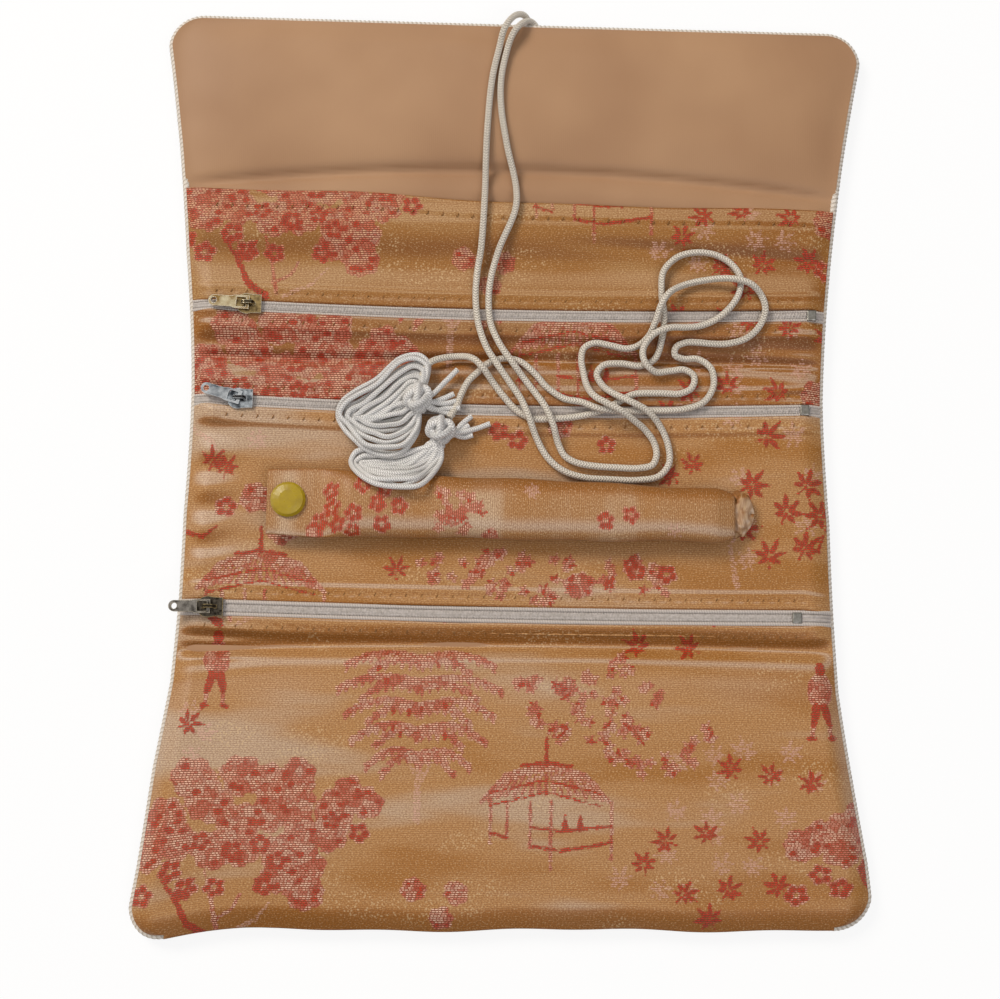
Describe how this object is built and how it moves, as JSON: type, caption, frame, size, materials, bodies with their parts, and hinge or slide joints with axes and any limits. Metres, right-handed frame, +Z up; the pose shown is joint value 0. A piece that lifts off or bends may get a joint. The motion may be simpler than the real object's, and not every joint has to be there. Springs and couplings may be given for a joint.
{
  "type": "jewelry roll",
  "caption": "Soft brocade jewelry roll shown open: padded satin flap, slip pocket, zipped pockets, a ring bar held by a snap, corded edge and a tasselled tie cord.",
  "frame": {"origin": "centre of the open roll's outline, on the table under it", "axes": "+X to the right across the roll, +Y from the foot to the flap, +Z up from the table"},
  "size_m": [0.1994, 0.2612, 0.023],
  "materials": {
    "brocade": "woven rayon brocade, gold-tan ground with red and pink weft figures",
    "satin_lining": "plain peach satin",
    "wadding": "polyester wadding",
    "piping_cord": "twisted white edging cord",
    "tie_cord": "white knitted cord",
    "zip_tape": "woven white zip tape",
    "zip_coil": "moulded nylon coil",
    "slider_metal": "plated die-cast zinc",
    "snap_metal": "stamped nickelled steel",
    "snap_enamel": "olive yellow enamel on the snap's cap"
  },
  "bodies": {
    "upper": {"upper_outer_cover": "brocade", "upper_wadding": "wadding", "upper_lining": "satin_lining", "upper_piping_left": "piping_cord", "upper_piping_right": "piping_cord", "slip_pocket_panel": "brocade", "first_pocket_panel_upper": "brocade", "zip1_upper_tape": "zip_tape", "zip1_lower_tape": "zip_tape", "zip1_upper_coil": "zip_coil", "zip1_lower_coil": "zip_coil", "zip1_stop": "slider_metal", "tie_cord_left": "tie_cord", "tie_cord_right": "tie_cord"},
    "flap": {"flap_outer_cover": "brocade", "flap_wadding": "wadding", "flap_lining": "satin_lining", "flap_piping": "piping_cord"},
    "middle": {"middle_outer_cover": "brocade", "middle_wadding": "wadding", "middle_lining": "satin_lining", "middle_piping_left": "piping_cord", "middle_piping_right": "piping_cord", "first_pocket_panel_lower": "brocade", "ring_bar_pocket_panel": "brocade", "lower_pocket_panel_strip": "brocade", "ring_bar_sewn_end": "brocade", "snap_stud": "snap_metal", "zip2_upper_tape": "zip_tape", "zip2_lower_tape": "zip_tape", "zip2_upper_coil": "zip_coil", "zip2_lower_coil": "zip_coil", "zip2_stop": "slider_metal", "zip3_upper_tape": "zip_tape", "zip3_lower_tape": "zip_tape", "zip3_upper_coil": "zip_coil", "zip3_lower_coil": "zip_coil", "zip3_stop": "slider_metal", "tassel1_loops": "tie_cord", "tassel1_knot": "tie_cord", "tassel2_loops": "tie_cord", "tassel2_knot": "tie_cord"},
    "lower": {"lower_outer_cover": "brocade", "lower_wadding": "wadding", "lower_lining": "satin_lining", "lower_piping": "piping_cord", "lower_pocket_panel": "brocade"},
    "zip1_slider": {"zip1_slider": "slider_metal"},
    "zip1_pull": {"zip1_pull": "slider_metal"},
    "zip2_slider": {"zip2_slider": "slider_metal"},
    "zip2_pull": {"zip2_pull": "slider_metal"},
    "zip3_slider": {"zip3_slider": "slider_metal"},
    "zip3_pull": {"zip3_pull": "slider_metal"},
    "ring_bar": {"ring_bar_cover": "brocade", "ring_bar_filling": "wadding", "snap_cap": "snap_enamel", "snap_socket": "snap_metal"}
  },
  "joints": [
    {"name": "flap_fold", "type": "hinge", "parent": "upper", "child": "flap", "pos_m": [0, 0.085, 0.0066], "axis": [1, 0, 0], "range_deg": [0, 150], "deforming": ["tie_cord_left", "tie_cord_right"]},
    {"name": "middle_fold", "type": "hinge", "parent": "upper", "child": "middle", "pos_m": [0, 0.031, 0.0066], "axis": [1, 0, 0], "range_deg": [-100, 0], "deforming": ["tie_cord_left", "tie_cord_right", "tassel1_loops", "tassel1_knot", "tassel2_loops", "tassel2_knot"]},
    {"name": "lower_fold", "type": "hinge", "parent": "middle", "child": "lower", "pos_m": [0, -0.0515, 0.0066], "axis": [1, 0, 0], "range_deg": [-145, 0]},
    {"name": "zip1_slide", "type": "slide", "parent": "upper", "child": "zip1_slider", "axis": [1, 0, 0], "range_m": [0, 0.153], "deforming": ["zip1_upper_coil", "zip1_lower_coil"]},
    {"name": "zip1_pull_turn", "type": "hinge", "parent": "zip1_slider", "child": "zip1_pull", "pos_m": [-0.07404, 0.0444, 0.00937], "axis": [0.0698, 0.9976, 0], "range_deg": [0, 180]},
    {"name": "zip2_slide", "type": "slide", "parent": "middle", "child": "zip2_slider", "axis": [1, 0, 0], "range_m": [0, 0.1525], "deforming": ["zip2_upper_coil", "zip2_lower_coil"]},
    {"name": "zip2_pull_turn", "type": "hinge", "parent": "zip2_slider", "child": "zip2_pull", "pos_m": [-0.07547, 0.0171, 0.00937], "axis": [0.2756, 0.9613, 0], "range_deg": [0, 180]},
    {"name": "zip3_slide", "type": "slide", "parent": "middle", "child": "zip3_slider", "axis": [1, 0, 0], "range_m": [0, 0.156], "deforming": ["zip3_upper_coil", "zip3_lower_coil"]},
    {"name": "zip3_pull_turn", "type": "hinge", "parent": "zip3_slider", "child": "zip3_pull", "pos_m": [-0.08151, -0.0415, 0.00937], "axis": [0, 1, 0], "range_deg": [0, 180]},
    {"name": "ring_bar_swing", "type": "hinge", "parent": "middle", "child": "ring_bar", "pos_m": [0.065, -0.0144, 0.0072], "axis": [0, 1, 0], "range_deg": [0, 110]}
  ]
}
